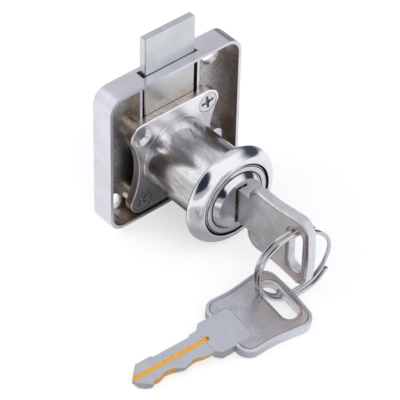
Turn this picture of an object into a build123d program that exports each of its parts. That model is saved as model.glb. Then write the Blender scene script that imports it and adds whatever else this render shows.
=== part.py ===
from build123d import *
from math import asin, cos, pi, radians, sin, sqrt, tan
import os

# Drawer lock with a tray case, a flat sliding bolt, a wafer cylinder and two flat keys on a split ring.
# Millimetres. The origin is on the cylinder's axis, in the plane of the case's rim, which lies on the back of
# the drawer front. The keys are on the -Y side, the case reaches back to +Y, and the bolt moves along Z.

# Case
case_width = 40.0
case_height = 40.2
case_depth = 6.7
axis_above_base = 14.9
case_corner_radius = 4.2
case_back_edge_radius = 0.6
rim_wall = 0.8
inside_draft = 3.0
floor_thickness = 1.3
post_radius = 2.3
rib_inner_gap = 8.4
rib_width = 0.67
slot_end_clearance = 0.7
slot_front_clearance = 0.25
slot_back_clearance = 0.3
guide_pad_width = 14.4
guide_pad_gap = 0.08
guide_pad_drop = 12.0
guide_pad_into_wall = 0.2
slot_overcut = 0.3
mounting_hole_radius = 2.25
mounting_hole_chamfer = 0.4
mounting_holes = [(-15.0, -11.3), (15.0, 18.7)]
corner_pip_radius = 1.25
corner_pip_height = 3.6
corner_pip_x = -16.9
corner_pip_z = -12.9
cast_block_left = 11.5
cast_block_right = 16.9
cast_block_bottom = -9.0
cast_block_top = -2.4
cast_block_corner = 2.0
cast_block_height = 2.8
# how far a part that is cast on reaches into the wall it grows from
cast_root = 0.5

# Barrel housing
flange_recess = 0.3
flange_thickness = 2.2
flange_hole_spacing = 20.0
flange_ear_radius = 3.5
flange_waist = 11.0
flange_edge_chamfer = 0.2
barrel_radius = 9.5
barrel_length = 22.0
barrel_foot_radius = 9.85
barrel_foot_height = 0.35
barrel_front_chamfer = 0.25
tumbler_groove_width = 5.4
tumbler_groove_radius = 8.3
retainer_groove_radius = 8.0
retainer_groove_fit = 0.3

# Screws and pegs
screw_radius = 1.5
screw_head_radius = 2.65
screw_head_rim = 0.35
screw_length = 5.2
screw_fit = 0.02
screw_clearance = 0.1
screw_head_sink = 0.08
screw_recess_radius = 1.85
screw_recess_width = 0.7
screw_recess_depth = 1.1
screw_recess_arm_depth = 0.75
screw_recess_middle = 0.8
screw_recess_taper = 12.0
upper_screw_turn = 8.0
lower_screw_turn = 45.0
peg_radius = 1.65
peg_recess = 0.9
peg_fit = 0.05

# Bolt
bolt_width = 15.1
bolt_thickness = 2.2
bolt_reach = 10.45
bolt_throw = 10.0
bolt_edge_chamfer = 0.2
bolt_body_width = 18.8
bolt_foot_width = 14.4
bolt_foot_length = 3.4
bolt_body_corner = 0.4
bolt_window_corner = 0.3
bolt_side_gap = 0.08

# Plug
plug_radius = 6.95
plug_head_radius = 7.55
plug_head_length = 1.6
plug_fit = 0.05
plug_proud = 1.4
plug_bevel = 0.95
plug_nose_step = 0.1
plug_tail_gap = 0.05
drive_pin_radius = 1.4
drive_pin_length = 2.2
drive_pin_root = 0.5
drive_pin_window_fit = 0.1
key_pocket_width = 3.5
key_pocket_height = 10.6
key_pocket_depth = 1.3
key_pocket_corner = 0.3
keyway_end_gap = 0.6

# Tumblers
tumbler_count = 6
tumbler_pitch = 2.5
tumbler_first = 3.4
tumbler_thickness = 1.0
tumbler_width = 4.8
tumbler_fit = 0.06
tumbler_end_gap = 0.1
tumbler_travel = 1.0
tumbler_lug_width = 1.5
tumbler_lug_height = 1.1
spring_radius = 0.42
spring_wall = 0.15
spring_length = 3.2
retainer_width = 3.6
retainer_thickness = 1.0
retainer_reach = 0.7
retainer_height = 3.6
retainer_from_tail = 0.9
retainer_spring_seat = 1.2

# Trim ring
trim_radius = 13.0
trim_depth = 3.6
trim_front_gap = 0.35
trim_bore_fit = 0.04
trim_front_below_end = 0.1
trim_back_edge = 0.6
trim_lip_depth = 1.0
trim_back_bevel = 0.3
trim_dome_inset = 0.95
trim_nose_width = 0.5
trim_nose_height = 0.05

# Keys
blade_width = 7.0
blade_thickness = 2.0
blade_length = 19.7
blade_fit = 0.1
blade_tip_flat = 1.5
blade_tip_taper = 2.6
blade_groove_width = 1.35
blade_groove_depth = 0.45
blade_groove_offset = 0.3
blade_groove_in_collar = 1.2
blade_edge_thickness = 1.1
blade_edge_bevel = 1.3
# distance from the shoulder and depth of each corner of the cut edge
blade_cuts = [
    (1.4, 0.0),
    (3.1, 0.2),
    (3.9, 0.7),
    (5.1, 0.95),
    (5.9, 0.7),
    (8.3, 0.0),
    (10.1, 1.25),
    (10.8, 1.5),
    (12.4, 1.7),
    (15.0, 0.85),
    (15.7, 1.15),
    (16.6, 0.55),
    (17.1, 0.35),
]
far_cut_start = 2.0
far_cut_end = 12.4
far_cut_depth = 0.5
collar_width = 9.8
collar_thickness = 2.4
collar_length = 4.9
collar_corner = 1.4
collar_in_pocket = 1.1
key_draw = 26.0
head_length = 20.6
head_neck_width = 18.0
head_waist_width = 17.0
head_waist_from_neck = 8.2
head_end_width = 20.2
head_thickness = 2.6
head_corner_radius = 3.6
head_neck_corner_radius = 3.4
head_side_radius = 28.0
head_end_bow = 0.6
head_bevel_width = 0.9
head_bevel_depth = 0.2
pad_width = 9.6
pad_length = 5.1
pad_corner_radius = 1.2
key_slot_width = 4.4
key_slot_length = 12.0
key_slot_from_end = 4.5
key_slot_corner_radius = 2.1
key_slot_bevel_width = 0.7
key_slot_bevel_depth = 0.3

# Split ring
ring_radius = 10.2
wire_radius = 0.5
ring_turn_gap = 0.42
ring_turn_about_z = -10.5
ring_centre_x = -0.87
ring_from_slot_middle = 0.44
ring_crossover_angle = 14.0
ring_crossover_half = 45.0
ring_arcs = 3
ring_end_angle = 41.0

# Spare key, flat on the table under the ring
spare_centre_x = -12.95
spare_from_ring_middle = -1.74
spare_lift = 2.72
spare_roll = 7.0
spare_pitch = -2.6
spare_yaw = -3.6

# Two places nearer than this are one
same_place = 0.01

# Derived places
base_z = -axis_above_base
top_z = base_z + case_height
case_middle_z = base_z + case_height / 2
floor_y = case_depth - floor_thickness
flange_front = flange_recess
flange_back = flange_recess + flange_thickness
hole_offset = flange_hole_spacing / 2
bore_radius = plug_radius + plug_fit
plug_face_y = -barrel_length - plug_proud
plug_back_y = flange_back - plug_tail_gap
drive_offset = bolt_throw / 2
bolt_front = flange_back + bolt_side_gap
bolt_back = bolt_front + bolt_thickness
wafer_slot = tumbler_thickness + 2 * tumbler_fit
key_shoulder_y = plug_face_y + collar_in_pocket
key_slot_y = key_shoulder_y - collar_length - head_length + key_slot_from_end
ring_centre_y = key_slot_y + ring_from_slot_middle
spare_centre_y = ring_centre_y + spare_from_ring_middle
ground_z = base_z


def slab(outline, y_front, y_back, taper=0):
    """An outline drawn in X and Z, made solid between two depths. A taper works towards the front."""
    return extrude(Plane.XZ.offset(-y_back) * outline, amount=y_back - y_front, taper=taper)


def rod(radius, y_front, y_back, x=0, z=0):
    return slab(Pos(x, z) * Circle(radius), y_front, y_back)


def round_plate(width, height, radius, x=0, z=0):
    return Pos(x, z) * RectangleRounded(width, height, radius)


def cone(radius_front, radius_back, y_front, y_back, x=0, z=0):
    """A round taper whose axis runs along Y."""
    profile = Polyline(
        (0, y_front), (radius_front, y_front), (radius_back, y_back), (0, y_back), close=True
    )
    return Pos(x, 0, z) * revolve(make_face(profile), Axis.Y)


def tumbler_places():
    """The depth of each tumbler's middle, from the front one to the rear one."""
    first = plug_face_y + plug_proud + tumbler_first
    return [first + i * tumbler_pitch for i in range(tumbler_count)]


def flange_corners():
    return [(sx * hole_offset, sz * hole_offset) for sx in (-1, 1) for sz in (-1, 1)]


def screw_corners():
    return [(hole_offset, hole_offset), (-hole_offset, -hole_offset)]


def peg_corners():
    return [c for c in flange_corners() if c not in screw_corners()]


def case():
    """An open tray with everything that is cast in one with it."""
    outer = slab(
        round_plate(case_width, case_height, case_corner_radius, 0, case_middle_z), 0, case_depth
    )
    outer = fillet(outer.faces().sort_by(Axis.Y)[-1].edges(), case_back_edge_radius)
    wall_at_floor = rim_wall + floor_y * tan(radians(inside_draft))
    inside = round_plate(
        case_width - 2 * wall_at_floor,
        case_height - 2 * wall_at_floor,
        case_corner_radius - rim_wall,
        0,
        case_middle_z,
    )
    body = outer - slab(inside, 0, floor_y, taper=-inside_draft)
    rooted = floor_y + floor_thickness / 2
    rib_height = top_z - rim_wall - hole_offset
    for side in (-1, 1):
        rib_x = side * (rib_inner_gap + rib_width / 2)
        rib = Pos(rib_x, hole_offset + rib_height / 2) * Rectangle(rib_width, rib_height)
        body += slab(rib, flange_back, rooted)
    for x, z in flange_corners():
        body += rod(post_radius, flange_back, rooted, x, z)
    for x, z in peg_corners():
        body += rod(peg_radius, flange_front + peg_recess, flange_back + cast_root, x, z)
    body += rod(corner_pip_radius, floor_y - corner_pip_height, rooted, corner_pip_x, corner_pip_z)
    body += cast_block(rooted)
    body += guide_pad(wall_at_floor, rooted)
    body -= bolt_slot(wall_at_floor)
    for x, z in screw_corners():
        thread_end = flange_front + screw_length + screw_clearance
        body -= rod(screw_radius + screw_fit, flange_back - 1, thread_end, x, z)
    for x, z in mounting_holes:
        body -= rod(mounting_hole_radius, -1, case_depth + 1, x, z)
        wide = mounting_hole_radius + mounting_hole_chamfer
        body -= cone(wide, mounting_hole_radius, floor_y, floor_y + mounting_hole_chamfer, x, z)
    return body


def cast_block(back):
    """A low block on the floor beside the flange, with one rounded corner."""
    width = cast_block_right - cast_block_left
    height = cast_block_top - cast_block_bottom
    middle = Pos(cast_block_left + width / 2, cast_block_bottom + height / 2)
    outline = middle * Rectangle(width, height)
    right = outline.vertices().sort_by(Axis.X)[-2:]
    outline = fillet(right, cast_block_corner)
    return slab(outline, floor_y - cast_block_height, back)


def guide_pad(wall, back):
    """The raised strip of floor that carries the bolt's back."""
    bottom = hole_offset + post_radius - bolt_throw - guide_pad_drop
    height = top_z - wall + guide_pad_into_wall - bottom
    outline = Pos(0, bottom + height / 2) * Rectangle(guide_pad_width, height)
    return slab(outline, bolt_back + guide_pad_gap, back)


def bolt_slot(wall):
    """The opening in the top wall."""
    width = bolt_width + 2 * slot_end_clearance
    outline = Pos(0, top_z - wall / 2) * Rectangle(width, wall + 2 * slot_overcut)
    return slab(outline, bolt_front - slot_front_clearance, bolt_back + slot_back_clearance)


def flange_outline():
    """A square plate with a round ear at each corner and hollowed sides."""
    ear = flange_ear_radius
    edge_z = hole_offset + ear
    plate = Rectangle(2 * hole_offset, 2 * edge_z)
    side_x = hole_offset + ear
    middle = Rectangle(2 * side_x, 2 * hole_offset)
    outline = plate + middle
    for x, z in flange_corners():
        outline += Pos(x, z) * Circle(ear)
    # the hollow touches each ear at its outermost point and reaches in to the waist
    rise = side_x - flange_waist
    hollow_radius = (hole_offset**2 + rise**2) / (2 * rise) - ear / 2
    for side in (-1, 1):
        outline -= Pos(side * (flange_waist + hollow_radius), 0) * Circle(hollow_radius)
    return outline


def barrel_housing():
    front = -barrel_length
    flange = slab(flange_outline(), flange_front, flange_back)
    flange = chamfer(flange.faces().sort_by(Axis.Y)[0].outer_wire().edges(), flange_edge_chamfer)
    barrel = rod(barrel_radius, front, flange_back)
    barrel = chamfer(barrel.faces().sort_by(Axis.Y)[0].edges(), barrel_front_chamfer)
    foot_front = flange_front - barrel_foot_height
    foot = cone(barrel_radius, barrel_foot_radius, foot_front, flange_front + cast_root)
    body = flange + barrel + foot
    head_seat_y = front + plug_head_length
    body -= rod(plug_head_radius + plug_fit, front - 1, head_seat_y)
    body -= rod(bore_radius, front - 1, flange_back + 1)
    pin_sweep = drive_offset + drive_pin_radius + plug_fit
    body -= rod(max(bore_radius, pin_sweep), plug_back_y - drive_pin_root, flange_back + 1)
    places = tumbler_places()
    groove_start = places[0] - tumbler_thickness
    groove_end = places[-1] + tumbler_thickness
    groove = Rectangle(tumbler_groove_width, 2 * tumbler_groove_radius)
    groove = groove & Circle(tumbler_groove_radius)
    body -= slab(groove, groove_start, groove_end)
    retainer_y = plug_back_y - retainer_from_tail - retainer_thickness / 2
    half_groove = retainer_thickness / 2 + retainer_groove_fit
    body -= rod(retainer_groove_radius, retainer_y - half_groove, retainer_y + half_groove)
    head_hole = screw_head_radius + screw_clearance
    shank_hole = screw_radius + screw_clearance
    for x, z in screw_corners():
        sink_depth = screw_head_radius - screw_radius
        sink_y = flange_front + screw_head_rim
        body -= rod(head_hole, flange_front - 1, sink_y, x, z)
        body -= cone(head_hole, shank_hole, sink_y, sink_y + sink_depth, x, z)
        body -= rod(shank_hole, flange_front, flange_back + 1, x, z)
    for x, z in peg_corners():
        sink_depth = screw_head_radius - peg_radius
        body -= cone(head_hole, peg_radius + peg_fit, flange_front, flange_front + sink_depth, x, z)
        body -= rod(peg_radius + peg_fit, flange_front - 1, flange_back + 1, x, z)
    return body


def flange_screw(x, z, turn):
    """A countersunk screw with a cross recess, its head just under the flange's face."""
    head_front = flange_front + screw_head_sink
    sink_depth = screw_head_radius - screw_radius
    head = rod(screw_head_radius, head_front, flange_front + screw_head_rim, x, z)
    head += cone(
        screw_head_radius,
        screw_radius,
        flange_front + screw_head_rim,
        flange_front + screw_head_rim + sink_depth,
        x,
        z,
    )
    shank = rod(screw_radius, flange_front + 1, flange_front + screw_length, x, z)
    arms = Rectangle(2 * screw_recess_radius, screw_recess_width)
    arms += Rectangle(screw_recess_width, 2 * screw_recess_radius)
    arms = Pos(x, z) * Rot(0, 0, turn) * arms
    point = screw_recess_middle - screw_recess_depth * tan(radians(screw_recess_taper))
    cut = slab(arms, head_front - 1, head_front + screw_recess_arm_depth)
    cut += cone(screw_recess_middle, point, head_front, head_front + screw_recess_depth, x, z)
    return head + shank - cut


def bolt_window_half_height():
    """Room for the drive pin, and for the little by which its arc leads and lags the bolt's travel."""
    quarter = asin(2 / pi)
    lead = drive_offset * cos(quarter) - drive_offset + bolt_throw * quarter / pi
    return drive_pin_radius + lead + drive_pin_window_fit


def bolt():
    half_window = bolt_window_half_height()
    window_z = drive_offset
    window_top = window_z + half_window
    blade_top = top_z + bolt_reach
    blade_height = blade_top - window_top
    plate = Pos(0, window_top + blade_height / 2) * Rectangle(bolt_width, blade_height)
    foot_height = bolt_foot_length + 1
    foot_middle = window_z - half_window - bolt_foot_length + foot_height / 2
    plate += Pos(0, foot_middle) * Rectangle(bolt_foot_width, foot_height)
    plate += round_plate(bolt_body_width, 2 * half_window, bolt_body_corner, 0, window_z)
    window_width = 2 * (drive_offset + drive_pin_radius + drive_pin_window_fit)
    plate -= round_plate(window_width, 2 * half_window, bolt_window_corner, 0, window_z)
    body = slab(plate, bolt_front, bolt_back)
    top_edges = body.faces().sort_by(Axis.Z)[-1].edges()
    long_edges = body.edges().filter_by(Axis.Z).filter_by(lambda e: e.center().Z > top_z / 2)
    return chamfer(list(top_edges) + list(long_edges), bolt_edge_chamfer)


def keyway():
    width = blade_thickness + 2 * blade_fit
    height = blade_width + 2 * blade_fit
    return Rectangle(width, height)


def tumbler_side(index):
    """Tumblers take turns to be sprung up or down, with the spring on the right or on the left."""
    return 1 if index % 2 == 0 else -1


def plug():
    head_front = -barrel_length
    body = rod(plug_radius, head_front, plug_back_y)
    nose_back = head_front - plug_nose_step
    head = rod(plug_head_radius, nose_back, head_front + plug_head_length - plug_fit)
    nose = cone(plug_head_radius - plug_bevel, plug_head_radius, plug_face_y, nose_back)
    body = body + head + nose
    pin_end = plug_back_y + drive_pin_length
    body += rod(drive_pin_radius, plug_back_y - drive_pin_root, pin_end, 0, drive_offset)
    pocket = round_plate(key_pocket_width, key_pocket_height, key_pocket_corner)
    body -= slab(pocket, plug_face_y - 1, plug_face_y + key_pocket_depth)
    keyway_end = key_shoulder_y + blade_length + keyway_end_gap
    body -= slab(keyway(), plug_face_y, keyway_end)
    for index, y in enumerate(tumbler_places()):
        slot_width = tumbler_width + 2 * tumbler_fit
        cut = Rectangle(slot_width, 2 * plug_radius + 1)
        side = tumbler_side(index)
        lug_reach = tumbler_width / 2 + tumbler_lug_width + 2 * tumbler_fit
        well_top = tumbler_lug_height + tumbler_travel + 2 * tumbler_fit
        well_height = well_top + spring_length
        well = Pos(side * lug_reach / 2, side * (well_top - well_height / 2)) * Rectangle(
            lug_reach, well_height
        )
        cut += well
        body -= slab(cut, y - wafer_slot / 2, y + wafer_slot / 2)
    retainer_y = plug_back_y - retainer_from_tail - retainer_thickness / 2
    half_slot = retainer_thickness / 2 + tumbler_fit
    cut_height = plug_radius + 1 - retainer_spring_seat
    retainer_cut = Rectangle(retainer_width + 2 * tumbler_fit, cut_height)
    retainer_cut = Pos(0, retainer_spring_seat + cut_height / 2) * retainer_cut
    body -= slab(retainer_cut, retainer_y - half_slot, retainer_y + half_slot)
    return body


def tumbler(index, y):
    """A flat plate with rounded ends, a window for the blade and a lug that the spring pushes on."""
    side = tumbler_side(index)
    end_radius = plug_radius - tumbler_end_gap
    plate = Rectangle(tumbler_width, 2 * end_radius) & Circle(end_radius)
    lug_reach = tumbler_width / 2 + tumbler_lug_width
    plate += Pos(side * lug_reach / 2, side * tumbler_lug_height / 2) * Rectangle(
        lug_reach, tumbler_lug_height
    )
    blade_tip_y = key_shoulder_y + blade_length
    passed_after = blade_tip_y - y + tumbler_thickness
    drift = tumbler_travel * passed_after / key_draw
    near_half = blade_width / 2 + blade_fit
    far_half = near_half + drift
    window_height = near_half + far_half
    window_width = blade_thickness + 2 * blade_fit
    window_z = side * (near_half - far_half) / 2
    plate -= Pos(0, window_z) * Rectangle(window_width, window_height)
    return slab(plate, y - tumbler_thickness / 2, y + tumbler_thickness / 2)


def tumbler_spring(index, y):
    """The space of a small coil spring under the lug, as a thin tube."""
    side = tumbler_side(index)
    x = side * (tumbler_width / 2 + tumbler_lug_width / 2)
    length = spring_length - 2 * tumbler_fit
    tube = Circle(spring_radius) - Circle(spring_radius - spring_wall)
    place = Plane(origin=(x, y, -side * tumbler_fit), z_dir=(0, 0, -side))
    return extrude(place * tube, amount=length)


def retainer():
    """A sprung plate that reaches out of the plug's tail into a groove round the bore."""
    y = plug_back_y - retainer_from_tail - retainer_thickness / 2
    reach = plug_radius + retainer_reach
    strip = Pos(0, reach - retainer_height / 2) * Rectangle(retainer_width, retainer_height)
    plate = strip & Circle(reach)
    return slab(plate, y - retainer_thickness / 2, y + retainer_thickness / 2)


def retainer_spring():
    y = plug_back_y - retainer_from_tail - retainer_thickness / 2
    bottom = retainer_spring_seat + tumbler_fit
    top = plug_radius + retainer_reach - retainer_height - tumbler_fit
    tube = Circle(spring_radius) - Circle(spring_radius - spring_wall)
    return extrude(Plane(origin=(0, y, bottom), z_dir=(0, 0, 1)) * tube, amount=top - bottom)


def trim_ring():
    """A domed ring, turned from a profile of radius and depth."""
    front = -barrel_length - trim_front_below_end
    back = front + trim_depth
    bore = barrel_radius + trim_bore_fit
    front_bore = barrel_radius + trim_front_gap
    shoulder = back - trim_back_edge
    outline = Polyline(
        (front_bore, front),
        (front_bore, back - trim_lip_depth),
        (bore, back - trim_lip_depth),
        (bore, back),
        (trim_radius - trim_back_bevel, back),
        (trim_radius, shoulder),
    )
    dome_middle = (trim_radius - trim_dome_inset, front + trim_dome_inset)
    nose_top = (front_bore + trim_nose_width, front - trim_nose_height)
    dome = ThreePointArc((trim_radius, shoulder), dome_middle, nose_top)
    nose = Line(nose_top, (front_bore, front))
    return revolve(make_face(outline + dome + nose), Axis.Y)


def head_outline():
    """The key's head, drawn with its length along X from the neck at 0 and its width along Y."""
    neck = head_neck_width / 2
    waist = head_waist_width / 2
    end = head_end_width / 2
    points = [
        (0, -neck),
        (head_waist_from_neck, -waist),
        (head_length - head_end_bow, -end),
        (head_length, 0),
        (head_length - head_end_bow, end),
        (head_waist_from_neck, waist),
        (0, neck),
    ]
    outline = make_face(Polyline(*points, close=True))
    corners = outline.vertices()
    end_x = head_length - head_end_bow
    neck_corners = [v for v in corners if v.X < same_place]
    end_corners = [v for v in corners if abs(v.X - end_x) < same_place]
    bends = [v for v in corners if abs(v.X - head_waist_from_neck) < same_place or abs(v.Y) < same_place]
    outline = fillet(neck_corners, head_neck_corner_radius)
    end_corners = [outline.vertices().sort_by_distance(v)[0] for v in end_corners]
    outline = fillet(end_corners, head_corner_radius)
    bends = [outline.vertices().sort_by_distance(v)[0] for v in bends]
    return fillet(bends, head_side_radius)


def key_blank():
    """A key lying flat, its length along X, the head's neck at 0 and the blade towards -X."""
    half = head_thickness / 2
    head = extrude(Plane.XY.offset(-half) * head_outline(), amount=head_thickness)
    slot = Pos(head_length - key_slot_from_end, 0) * RectangleRounded(
        key_slot_width, key_slot_length, key_slot_corner_radius
    )
    head -= extrude(Plane.XY.offset(-half - 1) * slot, amount=head_thickness + 2)
    for end in (0, -1):
        face = head.faces().sort_by(Axis.Z)[end]
        rim = face.outer_wire().edges()
        head = chamfer(rim, head_bevel_width, head_bevel_depth, reference=face)
        face = head.faces().sort_by(Axis.Z)[end]
        rim = face.inner_wires()[0].edges()
        head = chamfer(rim, key_slot_bevel_width, key_slot_bevel_depth, reference=face)
    pad_drop = (head_thickness - collar_thickness) / 2
    pad = Pos(pad_length / 2 - 1, 0) * RectangleRounded(pad_length + 2, pad_width, pad_corner_radius)
    for side in (-1, 1):
        face = Plane(origin=(0, 0, side * half), x_dir=(1, 0, 0), z_dir=(0, 0, side))
        head -= extrude(face.offset(-pad_drop) * pad, amount=1)
    blank = head + collar() + blade()
    for side in (-1, 1):
        face = Plane(origin=(0, 0, side * blade_thickness / 2), x_dir=(1, 0, 0), z_dir=(0, 0, side))
        blank -= extrude(face.offset(-blade_groove_depth) * groove_outline(), amount=1)
    return blank


def groove_outline():
    """The groove along each face of the blade, from a round end in the collar to past the tip."""
    end = blade_groove_in_collar - collar_length
    length = blade_length + 2 * blade_groove_in_collar
    return Pos(end - length / 2, blade_groove_offset) * SlotOverall(length, blade_groove_width)


def collar():
    """The thick part between head and blade, its front corners cut off."""
    side = collar_width / 2
    corners = [
        (1, -side),
        (collar_corner - collar_length, -side),
        (-collar_length, collar_corner - side),
        (-collar_length, side - collar_corner),
        (collar_corner - collar_length, side),
        (1, side),
    ]
    outline = make_face(Polyline(*corners, close=True))
    return extrude(Plane.XY.offset(-collar_thickness / 2) * outline, amount=collar_thickness)


def blade():
    """The cut blade, with a tapered tip."""
    start = -collar_length
    tip = start - blade_length
    half = blade_width / 2
    tip_half = blade_tip_flat / 2
    near = [(start - along, depth - half) for along, depth in blade_cuts]
    far = [
        (tip + blade_tip_taper, half),
        (start - far_cut_end - far_cut_depth, half),
        (start - far_cut_end, half - far_cut_depth),
        (start - far_cut_start - far_cut_depth, half - far_cut_depth),
        (start - far_cut_start, half),
    ]
    corners = [(start + 1, -half)] + near + [(tip, -tip_half), (tip, tip_half)] + far
    corners += [(start + 1, half)]
    outline = make_face(Polyline(*corners, close=True))
    solid = extrude(Plane.XY.offset(-blade_thickness / 2) * outline, amount=blade_thickness)
    return solid & blade_stock(tip - 1, start + 2)


def blade_stock(x_from, x_to):
    """The bar the blade is cut from, with the lower long edges bevelled."""
    half = blade_width / 2
    top = blade_thickness / 2
    flat = half - blade_edge_bevel
    section = [
        (-half, top),
        (-half, top - blade_edge_thickness),
        (-flat, -top),
        (flat, -top),
        (half, top - blade_edge_thickness),
        (half, top),
    ]
    return extrude(Plane.YZ.offset(x_from) * make_face(Polyline(*section, close=True)), amount=x_to - x_from)


def key():
    """The blank stood on edge in the plug, its head to the front."""
    neck_y = key_shoulder_y - collar_length
    place = Plane(origin=(0, neck_y, 0), x_dir=(0, -1, 0), z_dir=(-1, 0, 0))
    return place * key_blank()


def spare_key():
    centre = Location((spare_centre_x, spare_centre_y, ground_z + spare_lift))
    turn = Rot(spare_roll, spare_pitch, spare_yaw)
    return centre * turn * Pos(-head_length / 2, 0, 0) * key_blank()


def arc_between(start, direction, end):
    """The arc that leaves start along direction and ends at end."""
    chord = end - start
    along = direction.normalized()
    normal = chord - along * chord.dot(along)
    if normal.length < 1e-9:
        return Line(start, end)
    toward = normal.normalized()
    radius = chord.dot(chord) / (2 * chord.dot(toward))
    centre = start + toward * radius
    out_start = (start - centre).normalized()
    out_end = (end - centre).normalized()
    middle = centre + (out_start + out_end).normalized() * radius
    return ThreePointArc(start, middle, end)


def biarc(start, start_dir, end, end_dir):
    """Two arcs that meet smoothly, from one point and direction to another."""
    gap = end - start
    both = start_dir + end_dir
    a = 2 * (1 - start_dir.dot(end_dir))
    b = 2 * gap.dot(both)
    c = -gap.dot(gap)
    reach = -c / b if abs(a) < 1e-9 else (-b + sqrt(b * b - 4 * a * c)) / (2 * a)
    first_corner = start + start_dir * reach
    second_corner = end - end_dir * reach
    joint = (first_corner + second_corner) * 0.5
    joint_dir = (second_corner - first_corner).normalized()
    return [arc_between(start, start_dir, joint), arc_between(joint, joint_dir, end)]


def ring_line():
    """The middle line of the ring's wire: two flat turns and a crossover between them."""
    radius = ring_radius - wire_radius
    turn_step = 2 * wire_radius + ring_turn_gap

    def point(angle, depth):
        return Vector(radius * cos(radians(angle)), radius * sin(radians(angle)), depth)

    def heading(angle):
        return Vector(-sin(radians(angle)), cos(radians(angle)), 0)

    middle = ring_crossover_angle
    cross_start = middle - ring_crossover_half
    cross_end = middle + ring_crossover_half
    low, high = -turn_step / 2, turn_step / 2
    first_end = middle + ring_end_angle - 360
    last_end = middle + 360 - ring_end_angle
    edges = []
    steps = [first_end + (cross_start - first_end) * i / ring_arcs for i in range(ring_arcs + 1)]
    for a, b in zip(steps, steps[1:]):
        edges.append(ThreePointArc(point(a, low), point((a + b) / 2, low), point(b, low)))
    edges += biarc(point(cross_start, low), heading(cross_start), point(cross_end, high), heading(cross_end))
    steps = [cross_end + (last_end - cross_end) * i / ring_arcs for i in range(ring_arcs + 1)]
    for a, b in zip(steps, steps[1:]):
        edges.append(ThreePointArc(point(a, high), point((a + b) / 2, high), point(b, high)))
    return Wire(edges), point(first_end, low), heading(first_end)


def split_ring():
    line, start, start_dir = ring_line()
    section = Plane(origin=start, z_dir=start_dir) * Circle(wire_radius)
    ring = Solid.sweep(section.face(), line)
    print("split ring: least gap between its turns", round(ring_turn_gap, 2), "mm")
    stand = Plane(
        origin=(ring_centre_x, ring_centre_y, ground_z + ring_radius),
        x_dir=(cos(radians(ring_turn_about_z)), sin(radians(ring_turn_about_z)), 0),
        z_dir=(sin(radians(ring_turn_about_z)), -cos(radians(ring_turn_about_z)), 0),
    )
    return stand * ring


def build():
    nodes = {
        "case": case(),
        "barrel_housing": barrel_housing(),
        "flange_screw_upper": flange_screw(*screw_corners()[0], upper_screw_turn),
        "flange_screw_lower": flange_screw(*screw_corners()[1], lower_screw_turn),
        "trim_ring": trim_ring(),
        "bolt": bolt(),
        "plug": plug(),
        "retaining_wafer": retainer(),
        "retaining_spring": retainer_spring(),
        "key": key(),
        "spare_key": spare_key(),
        "split_ring": split_ring(),
    }
    for index, y in enumerate(tumbler_places()):
        nodes[f"wafer_{index + 1}"] = tumbler(index, y)
        nodes[f"wafer_spring_{index + 1}"] = tumbler_spring(index, y)
    os.makedirs("parts", exist_ok=True)
    for name, shape in nodes.items():
        export_step(shape, f"parts/{name}.step")


build()
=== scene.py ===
from math import cos, degrees, radians, sin

import bmesh
import bpy
from mathutils import Matrix, Vector


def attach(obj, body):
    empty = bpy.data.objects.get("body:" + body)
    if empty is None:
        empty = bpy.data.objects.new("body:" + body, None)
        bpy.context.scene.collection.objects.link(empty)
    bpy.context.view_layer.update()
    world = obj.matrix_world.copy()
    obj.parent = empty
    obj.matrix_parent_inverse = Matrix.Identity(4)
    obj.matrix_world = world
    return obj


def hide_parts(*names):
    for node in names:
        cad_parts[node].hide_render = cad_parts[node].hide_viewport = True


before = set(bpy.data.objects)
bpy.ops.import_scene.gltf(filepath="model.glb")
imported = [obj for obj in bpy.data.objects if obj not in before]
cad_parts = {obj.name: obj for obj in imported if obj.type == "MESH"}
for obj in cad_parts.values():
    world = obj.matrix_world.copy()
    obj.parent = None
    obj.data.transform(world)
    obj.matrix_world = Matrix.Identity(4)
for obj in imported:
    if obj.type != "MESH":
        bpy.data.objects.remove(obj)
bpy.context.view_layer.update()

# Lengths and places are in millimetres, which this turns into Blender's metres
MM = 0.001

# Camera, as the photograph was taken
camera_azimuth = radians(-41.729)
camera_elevation = radians(41.868)
camera_roll = radians(1.494)
camera_distance = 577.447
camera_slide_right = -5.628
camera_slide_up = 15.321
camera_aim_height = 5.29
camera_lens = 219.57
camera_sensor = 36.0
camera_clip_start = 10.0
camera_clip_end = 20000.0

# Table
table_z = -14.9
table_radius = 3000.0
table_segments = 64
table_colour = (0.80, 0.80, 0.80, 1)
white = (1, 1, 1, 1)


# Shader helpers


def add_node(tree, kind, **settings):
    """A node with its properties and input values set by name. Input names use _ for a space."""
    made = tree.nodes.new(kind)
    for name, value in settings.items():
        if hasattr(made, name):
            setattr(made, name, value)
            continue
        made.inputs[name.replace("_", " ")].default_value = value
    return made


def wire(tree, out_socket, in_socket):
    """Links an output to an input."""
    tree.links.new(out_socket, in_socket)


def new_group(name, inputs, outputs):
    """A node group with named sockets, and its input and output nodes."""
    tree = bpy.data.node_groups.new(name, "ShaderNodeTree")
    for label, kind, value in inputs:
        socket = tree.interface.new_socket(label, in_out="INPUT", socket_type=kind)
        if value is not None:
            socket.default_value = value
    for label, kind in outputs:
        tree.interface.new_socket(label, in_out="OUTPUT", socket_type=kind)
    return tree, tree.nodes.new("NodeGroupInput"), tree.nodes.new("NodeGroupOutput")


def mix_colours(tree, amount, first, second):
    """Mixes the output of a node with another one or with a plain colour."""
    mix = add_node(tree, "ShaderNodeMix", data_type="RGBA")
    wire(tree, amount, mix.inputs[0])
    wire(tree, first, mix.inputs[6])
    if isinstance(second, tuple):
        mix.inputs[7].default_value = (*second, 1)
    else:
        wire(tree, second, mix.inputs[7])
    return mix.outputs[2]


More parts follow.
